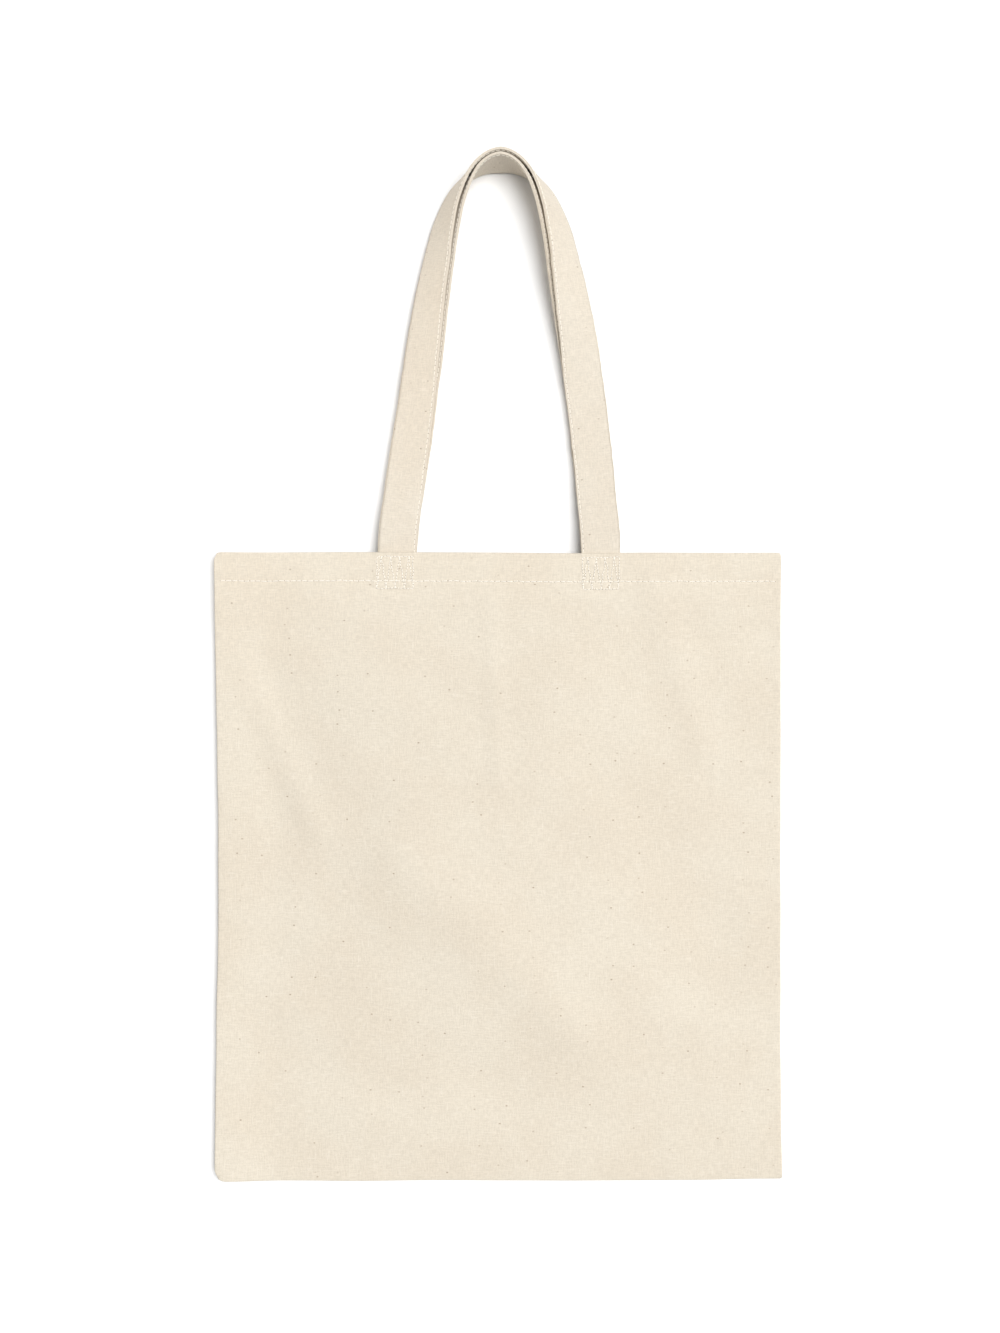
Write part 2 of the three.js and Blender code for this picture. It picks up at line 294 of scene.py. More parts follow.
def thicken(obj, thickness):
    """Gives a sheet its thickness, for good."""
    shell = obj.modifiers.new("thickness", "SOLIDIFY")
    shell.thickness = thickness * METRES
    shell.offset = 0
    shell.use_even_offset = True
    graph = bpy.context.evaluated_depsgraph_get()
    mesh = bpy.data.meshes.new_from_object(obj.evaluated_get(graph))
    obj.modifiers.clear()
    obj.data = mesh
    return obj


def spaced(*stretches):
    """Stations along a line, from stretches of (start, end, step)."""
    values = []
    for start, end, step in stretches:
        count = max(1, round(abs(end - start) / step))
        values.extend(np.linspace(start, end, count, endpoint=False))
    return np.array(values + [stretches[-1][1]])


def turned(beyond):
    """A turned edge, for cloth this far beyond the sheet's end.

    It gives how far the cloth lies outside the end, how far inward of the sheet, and how far past the turn.
    """
    angle = np.clip(beyond / FOLD_RADIUS, 0, math.pi)
    flat = np.maximum(beyond - FOLD_LENGTH, 0)
    return FOLD_RADIUS * np.sin(angle) - flat, FOLD_RADIUS * (1 - np.cos(angle)), flat


def panel_columns():
    edge = SHEET_HALF + FOLD_LENGTH
    half = spaced(
        (0, STRAP_X - 17, 2),
        (STRAP_X - 17, STRAP_X + 17, 0.8),
        (STRAP_X + 17, SHEET_HALF, 2),
        (SHEET_HALF, edge, 0.2),
        (edge, edge + SEAM_TUCK, 2),
    )
    return np.concatenate([-half[:0:-1], half])


def panel_rows():
    low = SHEET_LOW - FOLD_LENGTH
    high = SHEET_HIGH + FOLD_LENGTH
    return spaced(
        (low - SEAM_TUCK, low, 2),
        (low, SHEET_LOW, 0.2),
        (SHEET_LOW, MOUTH - 60, 3),
        (MOUTH - 60, MOUTH - 34, 1.5),
        (MOUTH - 34, SHEET_HIGH, 0.8),
        (SHEET_HIGH, high, 0.2),
        (high, high + HEM_TUCK, 1.6),
    )


def panel_points(across, up, level, inward):
    """Where the points of the flat cut cloth lie once its edges are turned in, mitred at the corners."""
    side_out, side_in, side_flat = turned(np.abs(across) - SHEET_HALF)
    low_out, low_in, low_flat = turned(SHEET_LOW - up)
    high_out, high_in, high_flat = turned(up - SHEET_HIGH)
    x = np.sign(across) * (np.minimum(np.abs(across), SHEET_HALF) + np.where(side_in > 0, side_out, 0))
    y = np.clip(up, SHEET_LOW, SHEET_HIGH)
    y = y + np.where(high_in > 0, high_out, 0) - np.where(low_in > 0, low_out, 0)
    x = x * (1 - (low_flat + high_flat * SEAM_TUCK / HEM_TUCK) / SHEET_HALF)
    height = SHEET_HIGH - SHEET_LOW
    share = (y - SHEET_LOW) / height
    y = y + side_flat * ((1 - share) - share * HEM_TUCK / SEAM_TUCK)
    z = level(x, y) + inward * (side_in + low_in + high_in)
    x, y = outline(x, y)
    return np.stack([x, y, z], axis=-1)


def panel(name, level, inward, material):
    columns = panel_columns()
    rows = panel_rows()
    across, up = np.meshgrid(columns, rows)
    points = panel_points(across, up, level, inward).reshape(-1, 3)
    beyond_side = (np.abs(columns[:-1] + columns[1:]) / 2 > SHEET_HALF)[None, :]
    middle = (rows[:-1] + rows[1:]) / 2
    beyond_end = ((middle < SHEET_LOW) | (middle > SHEET_HIGH))[:, None]
    faces = grid_faces(len(rows), len(columns))[~(beyond_side & beyond_end).ravel()]
    used, faces = np.unique(faces, return_inverse=True)
    uv = np.stack([across, up], axis=-1).reshape(-1, 2)[used]
    obj = make_mesh(name, points[used], faces.reshape(-1, 4), uv, [material])
    spread = np.where(up < SHEET_LOW, HALF_WIDTH, np.minimum(np.abs(across), HALF_WIDTH)).ravel()[used]
    attribute = obj.data.attributes.new("spread", "FLOAT", "POINT")
    attribute.data.foreach_set("value", spread.astype(np.float32))
    return thicken(obj, CLOTH)


# Straps


def bezier(points, count):
    """Points along a cubic curve."""
    t = np.linspace(0, 1, count)[:, None]
    a, b, c, d = (np.array(point, float) for point in points)
    return (1 - t) ** 3 * a + 3 * (1 - t) ** 2 * t * b + 3 * (1 - t) * t**2 * c + t**3 * d


def handle_plan():
    """The plan of a handle as distances and close points: up the left leg, over and down the right."""
    arch = bezier(HANDLE_ARCH, 400)
    leg = bezier(HANDLE_LEG, 400)
    half = np.concatenate([arch, leg[1:]])
    whole = np.concatenate([half[::-1] * (-1, 1), half[1:]])
    height = whole[:, 1]
    aside = HANDLE_LEAN * smooth(0, 200, height) + LEFT_BOW * bump(80, 75, height) * (whole[:, 0] < 0)
    whole = whole + np.stack([aside, np.full(len(whole), MOUTH)], axis=-1)
    steps = np.hypot(*np.diff(whole, axis=0).T)
    distance = np.concatenate([[0], np.cumsum(steps)])
    return distance, whole


PLAN_DISTANCE, PLAN = handle_plan()
HANDLE_LENGTH = PLAN_DISTANCE[-1]


def plan_at(distance):
    held = np.clip(distance, 0, HANDLE_LENGTH)
    return np.stack([np.interp(held, PLAN_DISTANCE, PLAN[:, i]) for i in range(2)], axis=-1)


def strap_frames(distance, is_back):
    """The strap's middle, its direction across (inner edge positive) and its facing, at each distance."""
    distance = np.asarray(distance, float)
    at = plan_at(distance)
    step = 0.6
    ahead = plan_at(distance + step) - plan_at(distance - step)
    along = ahead / np.maximum(np.hypot(ahead[:, 0], ahead[:, 1]), 1e-6)[:, None]
    beyond = np.maximum(-distance, 0) + np.maximum(distance - HANDLE_LENGTH, 0)
    share = np.clip(distance / HANDLE_LENGTH, 0, 1)
    along[beyond > 0] = [(0, 1 if d < 0 else -1) for d in distance[beyond > 0]]
    turn = strap_turn(1 - np.abs(2 * share - 1), share < 0.5)
    flat, upright = np.cos(turn), np.sin(turn)
    inner = np.stack([along[:, 1], -along[:, 0], np.zeros(len(at))], axis=-1)
    up = np.array([0.0, 0.0, 1.0])
    across = inner * flat[:, None] + up * upright[:, None]
    face = -inner * upright[:, None] + up * flat[:, None]
    nesting = STRAP_NESTING + STRAP_NESTING_FLAT * flat
    height = at[:, 1] - MOUTH
    z = STRAP_CLEARANCE + STRAP_RISE * (1 - smooth(0, STRAP_RISE_RUN, height))
    z = z + STRAP_THICKNESS / 2 * np.abs(flat) + nesting * np.maximum(flat, 0) + STRAP_WIDTH / 2 * upright
    centre = np.stack([at[:, 0], at[:, 1] - beyond, z], axis=-1)
    if is_back:
        return centre - face * nesting[:, None], across, face
    return lean_on_hem(centre, across, face, height)


def strap_turn(towards_top, is_left):
    """How far a strap has turned up on its outer edge.

    The left leg starts to turn lower down than the right one, and the top leans a little outwards.
    """
    ramp = np.clip((towards_top - 0.36) / 0.64, 0, 1)
    late = ramp * (1 - (1 - ramp) ** 6)
    early = 0.3 * towards_top + 0.7 * towards_top**1.7
    return math.pi / 2 * (0.9 * np.where(is_left, early, late) + 0.21 * bump(1, 0.1, towards_top))


def lean_on_hem(centre, across, face, height):
    """The front strap's ends lie against the hem, which slopes away from the middle of the bag."""
    near = smooth(45, 0, height)[:, None]
    slope, rise = 0.047, 0.8
    up = np.array([0.0, 0.0, 1.0])
    tilt = slope * near * np.einsum("ij,ij->i", face, np.broadcast_to(up, face.shape))[:, None]
    return centre + up * rise * near, across + face * tilt, face - across * tilt


def strap_half_thickness(across):
    """Half the thickness of the folded strap: full in the middle and sunk along its stitches."""
    puff = 0.25 * np.clip(1 - (across / (STRAP_WIDTH / 2)) ** 2, 0, 1)
    return STRAP_THICKNESS / 2 + puff - 0.22 * bump(EDGE_STITCH_AT, 0.8, across)


def strap_point(distance, across, offset, is_back):
    """Points of a strap, from distances along it, places across it and offsets off its middle."""
    centre, side, face = strap_frames(distance, is_back)
    seed = 61 if is_back else 51
    waver = 0.3 * ripples(distance, 0, 46, seed) + 0.12 * ripples(distance, 0, 9, seed + 1)
    bend = 0.22 * ripples(distance[:, None], across, 30, seed + 2)
    width = 1 + 0.012 * ripples(distance, 0, 24, seed + 3)
    place = across * width[:, None] + waver[:, None]
    return centre[:, None] + side[:, None] * place[..., None] + face[:, None] * (offset + bend)[..., None]


def strap_section():
    """A strap in section, as places across it and offsets: a folded edge outside, two plies' edges inside."""
    half = STRAP_WIDTH / 2
    near_stitches = EDGE_STITCH_AT - 1.4
    flat = spaced((-half + 0.8, 4, 1.6), (4, near_stitches, 1), (near_stitches, half - 0.4, 0.4))
    thick = strap_half_thickness(flat)
    fold = np.linspace(1.5, 0.5, 9)[1:-1] * math.pi
    outer = np.stack([-half + 0.8 + 0.8 * np.cos(fold), -thick[0] * np.sin(fold)], axis=-1)
    ply = thick[-1] / 2
    edge = [(half - 0.1, 1.8 * ply), (half, ply), (half - 0.12, 0.5 * ply), (half - 0.3, 0)]
    inner = np.array(edge + [(a, -b) for a, b in edge[-2::-1]])
    top = np.stack([flat, thick], axis=-1)
    under = np.stack([flat, -thick], axis=-1)[::-1]
    return np.concatenate([top, inner, under, outer[::-1] * (1, -1)])


def strap(name, is_back, material):
    distance = spaced((-STRAP_TUCK, HANDLE_LENGTH + STRAP_TUCK, 1.3))
    section = strap_section()
    across = np.broadcast_to(section[:, 0], (len(distance), len(section)))
    offset = np.broadcast_to(section[:, 1], across.shape)
    points = strap_point(distance, across, offset, is_back).reshape(-1, 3)
    faces = grid_faces(len(distance), len(section), wrap=True).tolist()
    ring = list(range(len(section)))
    faces.append(ring)
    faces.append([(len(distance) - 1) * len(section) + i for i in reversed(ring)])
    girth = np.concatenate([[0], np.cumsum(np.hypot(*np.diff(section, axis=0).T))])
    uv = np.stack(np.meshgrid(girth, distance), axis=-1).reshape(-1, 2)
    return make_mesh(name, points, faces, uv, [material])


# Stitches


def hole_shade_discs(holes, normals, along, size):
    """A small disc of painted shade just above the cloth at each needle hole."""
    sides = 8
    angle = np.arange(sides) * math.tau / sides
    across = np.cross(normals, along)
    ring = along[:, None] * (HOLE_STRETCH * np.cos(angle))[None, :, None]
    ring = ring + across[:, None] * np.sin(angle)[None, :, None]
    points = holes[:, None] + normals[:, None] * HOLE_ABOVE + ring * size
    faces = np.arange(len(holes) * sides).reshape(-1, sides)
    return points.reshape(-1, 3), faces


def unit(vectors):
    return vectors / np.maximum(np.linalg.norm(vectors, axis=-1, keepdims=True), 1e-9)


def thread_tubes(holes, normals, radius, rng):
    """A bent tube of thread from each hole to the next, which dips into both."""
    rings, sides = 9, 8
    start, end = holes[:-1], holes[1:]
    normal = unit(normals[:-1] + normals[1:])
    length = np.linalg.norm(end - start, axis=1)
    along = unit(end - start)
    across = np.cross(normal, along)
    share = np.linspace(0.06, 0.94, rings)
    arch = np.sqrt(np.sin(math.pi * np.linspace(0.03, 0.97, rings)))
    sway = rng.uniform(-0.12, 0.12, (2, len(start)))
    slide = sway[0][:, None] * (1 - share) + sway[1][:, None] * share
    rise = radius * (rng.uniform(1.35, 1.65, len(start))[:, None] * arch - 0.75)
    middle = start[:, None] + (end - start)[:, None] * share[None, :, None]
    middle = middle + normal[:, None] * rise[..., None] + across[:, None] * slide[..., None]
    girth = radius * (1 - 0.4 * np.abs(2 * share - 1) ** 5)
    angle = np.arange(sides) * math.tau / sides
    ring = across[:, None] * np.cos(angle)[None, :, None] + normal[:, None] * np.sin(angle)[None, :, None]
    points = middle[:, :, None] + ring[:, None] * girth[None, :, None, None]
    faces = grid_faces(rings, sides, wrap=True)
    first = np.arange(len(start)) * rings * sides
    faces = (first[:, None, None] + faces[None]).reshape(-1, 4)
    run = np.broadcast_to((length[:, None] * share)[:, :, None], points.shape[:3])
    turn = np.broadcast_to(angle * radius, points.shape[:3])
    return points.reshape(-1, 3), faces, np.stack([run, turn], axis=-1).reshape(-1, 2)


def stitches(name, rows, radius, seed, hole_shade_radius=HOLE_SHADE_RADIUS):
    """Rows of lockstitches in one mesh. A row is its needle holes and the way the cloth faces at each."""
    rng = np.random.default_rng(seed)
    points, faces, uvs, slots = [], [], [], []
    count = 0
    for holes, normals in rows:
        thread_points, thread_faces, thread_uv = thread_tubes(holes, normals, radius, rng)
        along = unit(np.gradient(holes, axis=0))
        # A disc of painted shade at each needle hole.
        disc_points, disc_faces = hole_shade_discs(holes, normals, along, hole_shade_radius)
        for part_points, part_faces, part_uv, slot in (
            (thread_points, thread_faces, thread_uv, 0),
            (disc_points, disc_faces, disc_points[:, :2], 1),
        ):
            points.append(part_points)
            faces.extend((part_faces + count).tolist())
            uvs.append(part_uv)
            slots.extend([slot] * len(part_faces))
            count += len(part_points)
    materials = [thread_material, hole_shade_material]
    return make_mesh(name, np.concatenate(points), faces, np.concatenate(uvs), materials, slots)


def panel_row(line, level, side, stitch):
    """Needle holes along a line on the outside of a panel. side is 1 for the front panel, -1 for the back."""
    line = np.array(line, float)
    count = max(2, round(np.linalg.norm(line[1] - line[0]) / stitch) + 1)
    x, y = (line[0] + (line[1] - line[0]) * np.linspace(0, 1, count)[:, None]).T
    x, y = x + 0.5 * ripples(x, y, 7, 45), y + 0.35 * ripples(x, y, 7, 46)
    z = level(x, y) + side * CLOTH / 2
    slope_x = (level(x + 0.5, y) - level(x - 0.5, y)) * side
    slope_y = (level(x, y + 0.5) - level(x, y - 0.5)) * side
    normals = unit(np.stack([-slope_x, -slope_y, np.full(count, 1.0)], axis=-1)) * (1, 1, side)
    x, y = outline(x, y)
    return np.stack([x, y, z], axis=-1), normals


def strap_row(across, is_back, facing, start, end, stitch):
    """Needle holes along a strap, on the side that faces out (facing is 1) or in (-1)."""
    distance = spaced((start, end, stitch))
    place = np.full((len(distance), 1), float(across))
    offset = facing * strap_half_thickness(place)
    holes = strap_point(distance, place, offset, is_back)[:, 0]
    return holes, strap_frames(distance, is_back)[2] * facing


def overlock_path(start, end, inward, seed):
    """The way one thread loops round the two raw edges of a seam, from end to end."""
    loops = round(np.linalg.norm(end - start) / OVERLOCK_STITCH)
    turn = np.linspace(0, loops * math.tau, loops * 16)
    rng = np.random.default_rng(seed)
    loose = 1 + 0.06 * np.interp(turn, np.arange(loops + 1) * math.tau, rng.uniform(-1, 1, loops + 1))
    along = (end - start) * (turn / turn[-1])[:, None]
    sideways = inward * (-2.6 + 2.9 * np.cos(turn) * loose)[:, None]
    upward = np.array([0.0, 0.0, 1.0]) * (1.12 * np.tanh(2.2 * np.sin(turn)) / math.tanh(2.2))[:, None]
    path = start + along + sideways + upward
    path[:, 2] += lift(path[:, 0], path[:, 1])
    return path


def overlock(name, start, end, inward, seed):
    """The thread of an overlocked seam. inward points from the seam's fold to its raw edges."""
    start, end, inward = (np.array(value, float) for value in (start, end, inward))
    path = overlock_path(start, end, inward, seed)
    sides = 6
    tangent = unit(np.gradient(path, axis=0))
    aside = unit(np.cross(tangent, unit(end - start)))
    other = np.cross(tangent, aside)
    angle = np.arange(sides) * math.tau / sides
    ring = aside[:, None] * np.cos(angle)[None, :, None] + other[:, None] * np.sin(angle)[None, :, None]
    points = (path[:, None] + ring * OVERLOCK_THREAD).reshape(-1, 3)
    distance = np.concatenate([[0], np.cumsum(np.linalg.norm(np.diff(path, axis=0), axis=1))])
    uv = np.stack(np.meshgrid(angle * OVERLOCK_THREAD, distance), axis=-1).reshape(-1, 2)[:, ::-1]
    faces = grid_faces(len(path), sides, wrap=True)
    return make_mesh(name, points, faces, uv, [overlock_material])


# Materials


def node(tree, kind, inputs=None, **settings):
    """A shader node. inputs gives each input by name or number, as a value or another node's output."""
    made = tree.nodes.new(kind)
    for setting, value in settings.items():
        setattr(made, setting, value)
    for key, value in (inputs or {}).items():
        if isinstance(value, bpy.types.NodeSocket):
            tree.links.new(value, made.inputs[key])
        else:
            made.inputs[key].default_value = value
    return made


def maths(tree, operation, a, b=0.0):
    return node(tree, "ShaderNodeMath", {0: a, 1: b}, operation=operation).outputs[0]


def between(tree, value, low, high, to_low=0.0, to_high=1.0):
    """value, from low to high, as a smooth step between two others."""
    inputs = {"Value": value, "From Min": low, "From Max": high, "To Min": to_low, "To Max": to_high}
    return node(tree, "ShaderNodeMapRange", inputs, interpolation_type="SMOOTHSTEP").outputs["Result"]


def blend_colours(tree, share, a, b, how="MIX"):
    mix = node(tree, "ShaderNodeMix", {"Factor": share}, data_type="RGBA", blend_type=how)
    for socket, value in ((mix.inputs[6], a), (mix.inputs[7], b)):
        if isinstance(value, bpy.types.NodeSocket):
            tree.links.new(value, socket)
        else:
            socket.default_value = (*value, 1)
    return mix.outputs[2]


def new_material(name):
    material = bpy.data.materials.new(name)
    material.use_nodes = True
    return material, material.node_tree, material.node_tree.nodes["Principled BSDF"]


def on_cloth(tree, wide, high):
    """The cloth's own coordinates, in units of this many millimetres along and across it."""
    uv = node(tree, "ShaderNodeUVMap", uv_map="cloth").outputs["UV"]
    scale = (1 / (wide * METRES), 1 / (high * METRES), 1)
    return node(tree, "ShaderNodeMapping", {"Vector": uv, "Scale": scale}).outputs["Vector"]


def noise(tree, wide, high, detail=2.0):
    """Noise on the cloth with grains this size in millimetres."""
    inputs = {"Vector": on_cloth(tree, wide, high), "Scale": 1.0, "Detail": detail, "Roughness": 0.55}
    return node(tree, "ShaderNodeTexNoise", inputs, noise_dimensions="2D").outputs["Fac"]


def plain_weave(tree, yarn):
    """Height of a plain weave whose yarns are this wide in millimetres: a bump where each two cross."""
    at = node(tree, "ShaderNodeSeparateXYZ", {0: on_cloth(tree, yarn / math.pi, yarn / math.pi)})
    waves = [maths(tree, "SINE", at.outputs[i]) for i in range(2)]
    return maths(tree, "ABSOLUTE", maths(tree, "MULTIPLY", *waves))


def seed_flecks(tree, spacing, amount):
    """Specks of cotton seed husk: 1 on a speck and 0 elsewhere."""
    inputs = {"Vector": on_cloth(tree, spacing * 1.5, spacing), "Scale": 1.0}
    cells = node(tree, "ShaderNodeTexVoronoi", inputs, voronoi_dimensions="2D")
    chance = node(tree, "ShaderNodeSeparateColor", {0: cells.outputs["Color"]})
    near = between(tree, cells.outputs["Distance"], 0.02, 0.055, 1.0, 0.0)
    chosen = maths(tree, "LESS_THAN", chance.outputs[0], amount)
    weak = between(tree, chance.outputs[1], 0.0, 1.0, 0.3, 1.0)
    return maths(tree, "MULTIPLY", maths(tree, "MULTIPLY", near, chosen), weak)


def scaled_colour(tree, colour, factor):
    grey = node(tree, "ShaderNodeCombineColor", {0: factor, 1: factor, 2: factor})
    return blend_colours(tree, 1.0, colour, grey.outputs[0], "MULTIPLY")


def canvas_colour(tree, light, dark, weave, yarns, slubs):
    """The cloth's colour: cloudy between light and dark, uneven by yarn and grain, with painted shade between
    the weave's crossings and in the gaps between yarns, and flecks.
    """
    grain = noise(tree, 1.1, 1.1, 3)
    colour = blend_colours(tree, between(tree, noise(tree, 70, 70, 3), 0.3, 0.7), dark, light)
    colour = scaled_colour(tree, colour, between(tree, yarns, 0.6, 1.4, 0.93, 1.05))
    colour = scaled_colour(tree, colour, between(tree, grain, 0.2, 0.75, 0.965, 1.02))
    # Painted shade: the cloth is darker where the yarns dip between crossings and a touch lighter on the
    # crossings.
    colour = scaled_colour(tree, colour, between(tree, weave, 0.0, 0.6, 0.92, 1.02))
    colour = blend_colours(tree, maths(tree, "MULTIPLY", slubs, 0.22), colour, (0.82, 0.76, 0.66))
    # Painted shade in the gaps between yarns: small dark brown specks.
    gap_shade = maths(tree, "MULTIPLY", between(tree, noise(tree, 0.9, 0.9), 0.36, 0.26), 0.12)
    colour = blend_colours(tree, gap_shade, colour, (0.36, 0.29, 0.2))
    flecks = maths(tree, "MULTIPLY", seed_flecks(tree, 12, 0.4), 0.55)
    return blend_colours(tree, flecks, colour, (0.2, 0.12, 0.06))


def canvas(name, light, dark, yarn):
    """Unbleached cotton canvas: a plain weave of uneven yarns, with slubs and flecks of seed husk."""
    material, tree, shader = new_material(name)
    weave = plain_weave(tree, yarn)
    yarns = maths(tree, "ADD", noise(tree, 5, yarn * 1.5), noise(tree, yarn * 1.5, 5))
    slubs_across = between(tree, noise(tree, 11, 1.0, 0), 0.7, 0.86)
    slubs_along = between(tree, noise(tree, 1.0, 11, 0), 0.72, 0.88)
    slubs = maths(tree, "MAXIMUM", slubs_across, slubs_along)
    colour = canvas_colour(tree, light, dark, weave, yarns, slubs)
    height = maths(tree, "ADD", maths(tree, "MULTIPLY", weave, 0.6), maths(tree, "MULTIPLY", yarns, 0.6))
    height = maths(tree, "ADD", height, maths(tree, "MULTIPLY", slubs, 0.4))
    relief = node(tree, "ShaderNodeBump", {"Height": height, "Strength": 0.5, "Distance": 0.0002})
    tree.links.new(colour, shader.inputs["Base Color"])
    tree.links.new(relief.outputs["Normal"], shader.inputs["Normal"])
    tree.links.new(between(tree, yarns, 0.6, 1.4, 0.98, 0.88), shader.inputs["Roughness"])
    shader.inputs["Specular IOR Level"].default_value = 0.25
    shader.inputs["Sheen Weight"].default_value = 0.1
    shader.inputs["Sheen Roughness"].default_value = 0.6
    return material


def twisted_thread(name, light, dark, ply):
    """Spun thread: plies that wind round it at a slant, this many millimetres apart, with painted shade in
    the grooves between them.
    """
    material, tree, shader = new_material(name)
    at = node(tree, "ShaderNodeSeparateXYZ", {0: on_cloth(tree, ply / math.pi, ply / math.pi)})
    slant = maths(tree, "ADD", at.outputs[0], at.outputs[1])
    plies = maths(tree, "ABSOLUTE", maths(tree, "SINE", slant))
    fluff = noise(tree, 0.5, 0.2)
    # Painted shade: the light colour is on the plies and the dark one in the grooves between them.
    colour = blend_colours(tree, between(tree, plies, 0.05, 0.6), dark, light)
    height = maths(tree, "ADD", plies, maths(tree, "MULTIPLY", fluff, 0.4))
    relief = node(tree, "ShaderNodeBump", {"Height": height, "Strength": 0.6, "Distance": 0.0001})
    tree.links.new(colour, shader.inputs["Base Color"])
    tree.links.new(relief.outputs["Normal"], shader.inputs["Normal"])
    tree.links.new(between(tree, fluff, 0.3, 0.7, 0.65, 0.8), shader.inputs["Roughness"])
    shader.inputs["Sheen Weight"].default_value = 0.15
    return material


def shaded_hole(name):
    """Painted shade in a needle hole between yarns: a dark brown, uneven by noise."""
    material, tree, shader = new_material(name)
    colour = blend_colours(tree, noise(tree, 0.5, 0.5), (0.2, 0.145, 0.09), (0.34, 0.27, 0.19))
    tree.links.new(colour, shader.inputs["Base Color"])
    tree.links.new(between(tree, noise(tree, 0.5, 0.5), 0.0, 1.0, 0.9, 1.0), shader.inputs["Roughness"])
    return material


def pale_paper(name):
    material, tree, shader = new_material(name)
    colour = blend_colours(tree, noise(tree, 400, 400), (0.9, 0.9, 0.9), (0.92, 0.92, 0.92))
    tree.links.new(colour, shader.inputs["Base Color"])
    shader.inputs["Roughness"].default_value = 1.0
    shader.inputs["Specular IOR Level"].default_value = 0.0
    return material


# Points and placement


def coordinates(obj):
    """The object's points, in metres."""
    values = np.zeros(len(obj.data.vertices) * 3, np.float32)
    obj.data.vertices.foreach_get("co", values)
    return values.reshape(-1, 3)


def open_with_mouth(obj, spread=None):
    """Sets each point's x to its distance from the middle of the bag, or to spread if given, bakes the
    object's placement, then puts the points back as they were.
    """
    rest = coordinates(obj)
    moved = rest.copy()
    moved[:, 0] = np.abs(rest[:, 0]) if spread is None else spread * METRES
    obj.data.vertices.foreach_set("co", moved.ravel())
    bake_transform(obj)
    obj.data.vertices.foreach_set("co", rest.ravel())
    obj.data.update()


def panel_spread(obj):
    values = np.zeros(len(obj.data.vertices), np.float32)
    obj.data.attributes["spread"].data.foreach_get("value", values)
    return values


def swing_with_handle(obj):
    """Bakes the object's placement into its points."""
    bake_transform(obj)


# The bag

canvas_material = canvas("canvas", light=(0.717, 0.65, 0.54), dark=(0.697, 0.622, 0.51), yarn=0.6)
strap_material = canvas("strap_canvas", light=(0.699, 0.635, 0.536), dark=(0.682, 0.61, 0.507), yarn=0.55)
thread_material = twisted_thread("sewing_thread", (0.94, 0.89, 0.8), (0.82, 0.76, 0.66), ply=0.25)
overlock_material = twisted_thread("overlock_thread", (0.76, 0.7, 0.6), (0.6, 0.53, 0.43), ply=0.2)
# Painted shade for the needle holes.
hole_shade_material = shaded_hole("needle_hole_shade")


def add_panel(word):
    """A panel's cloth with its hem row and the boxes that hold the strap ends."""
    is_front = word == "front"
    level, inward = (front_level, -1) if is_front else (back_level, 1)
    side = -inward
    cloth = panel(f"{word}_panel_cloth", level, inward, canvas_material)
    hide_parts(f"{word}_panel")
    open_with_mouth(cloth, panel_spread(cloth))
    edge = SHEET_HALF - 3
    hem_line = ((-edge, HEM_STITCH_Y), (edge, HEM_STITCH_Y))
    hem = stitches(f"{word}_hem_stitches", [panel_row(hem_line, level, side, HEM_STITCH)], HEM_THREAD, 71)
    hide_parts(f"{word}_hem_stitching")
    open_with_mouth(hem)
    boxes = [add_box(word, name, middle * STRAP_X, level, side) for name, middle in SIDES]
    return cloth


def add_box(word, name, middle, level, side):
    """The stitching that holds one strap end to one panel."""
    rows = [panel_row(line, level, side, BOX_STITCH) for line in box_lines(middle)]
    obj = stitches(f"{word}_{name}_box_stitches", rows, BOX_THREAD, 81 + int(middle), BOX_HOLE_SHADE_RADIUS)
    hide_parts(f"{word}_{name}_box_stitching")
    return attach(obj, word)


def add_strap(word):
    """A handle and its two sewn ends, as one strap, with the stitches along its edge on both sides."""
    is_back = word == "back"
    obj = strap(f"{word}_strap", is_back, strap_material)
    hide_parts(f"{word}_handle", *(f"{word}_{name}_strap_end" for name, _ in SIDES))
    swing_with_handle(obj)
    ends = (-STRAP_TUCK + 2, HANDLE_LENGTH + STRAP_TUCK - 2)
    rows = [strap_row(EDGE_STITCH_AT, is_back, facing, *ends, EDGE_STITCH) for facing in (1, -1)]
    sewing = stitches(f"{word}_strap_edge_stitches", rows, EDGE_THREAD, 91)
    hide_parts(f"{word}_handle_edge_stitching")
    swing_with_handle(sewing)
    return obj


def add_overlocks():
    """The overlocked edges inside the side seams and the bottom seam."""
    level = BACK_LEVEL + 1.5 * LAYER
    edge, low_edge = HALF_WIDTH - 9, BOTTOM + 9
    low, high = BOTTOM + 12, MOUTH - 21
    seams = [(f"{name}_seam", (side * edge, low), (side * edge, high), (-side, 0, 0)) for name, side in SIDES]
    seams.append(("bottom_seam", (-edge + 3, low_edge), (edge - 3, low_edge), (0, 1, 0)))
    for i, (name, start, end, inward) in enumerate(seams):
        obj = overlock(f"{name}_overlock_loops", (*start, level), (*end, level), inward, 101 + i)
        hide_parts(f"{name}_overlock")
        open_with_mouth(obj, np.full(len(obj.data.vertices), HALF_WIDTH))


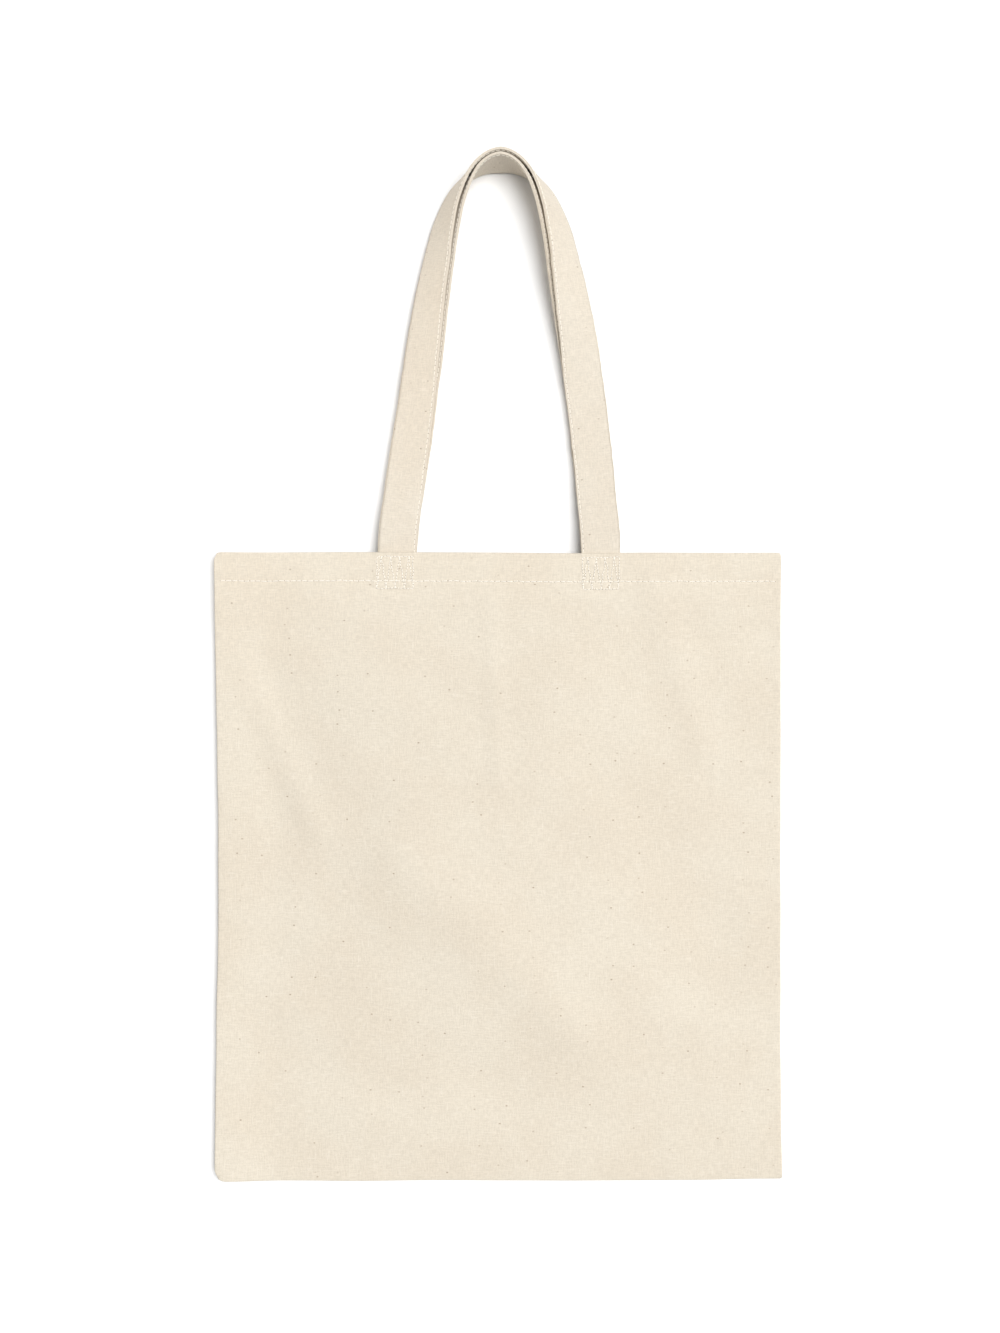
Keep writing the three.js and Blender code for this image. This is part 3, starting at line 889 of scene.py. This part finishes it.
for panel_word in ("back", "front"):
    add_panel(panel_word)
    add_strap(panel_word)
add_overlocks()


# The studio


def add_floor():
    size, level = 12000, -0.1
    corners = [(x, y, level) for x, y in ((-size, -size), (size, -size), (size, size), (-size, size))]
    uv = [corner[:2] for corner in corners]
    make_mesh("floor", corners, [(0, 1, 2, 3)], uv, [pale_paper("pale_paper")])


def add_light(name, kind, strength, azimuth, elevation):
    """A light that shines from a direction, in degrees."""
    lamp = bpy.data.lights.new(name, kind)
    lamp.energy = strength
    obj = bpy.data.objects.new(name, lamp)
    obj.rotation_euler = (0, math.radians(90 - elevation), math.radians(azimuth))
    obj.visible_camera = False
    bpy.context.scene.collection.objects.link(obj)
    return obj


def add_sun():
    sun = add_light("key", "SUN", 3.2, azimuth=20, elevation=68)
    sun.data.angle = math.radians(42)


def add_handle_lamp():
    """A weak warm lamp low on the left, whose cone takes in only the handles."""
    azimuth, elevation, distance = 192, 10, 0.6
    aim = (0, 0.22, 0.013)
    spot = add_light("handle_lamp", "SPOT", 9, azimuth, elevation)
    spot.data.spot_size = math.radians(26)
    spot.data.spot_blend = 0.5
    spot.data.shadow_soft_size = 0.15
    spot.data.color = (1, 0.92, 0.82)
    flat = distance * math.cos(math.radians(elevation))
    spot.location = (
        aim[0] + flat * math.cos(math.radians(azimuth)),
        aim[1] + flat * math.sin(math.radians(azimuth)),
        aim[2] + distance * math.sin(math.radians(elevation)),
    )


def add_sky(strength):
    world = bpy.data.worlds.new("sky")
    world.use_nodes = True
    world.node_tree.nodes["Background"].inputs["Color"].default_value = (1, 1, 1, 1)
    world.node_tree.nodes["Background"].inputs["Strength"].default_value = strength
    bpy.context.scene.world = world


def add_camera():
    lens = bpy.data.cameras.new("camera")
    lens.lens = 39.1
    obj = bpy.data.objects.new("camera", lens)
    obj.location = (0.00135, 0.0021, 0.97)
    bpy.context.scene.collection.objects.link(obj)
    bpy.context.scene.camera = obj


add_floor()
add_sun()
add_handle_lamp()
add_sky(0.35)
add_camera()
bpy.context.scene.view_settings.view_transform = "Standard"
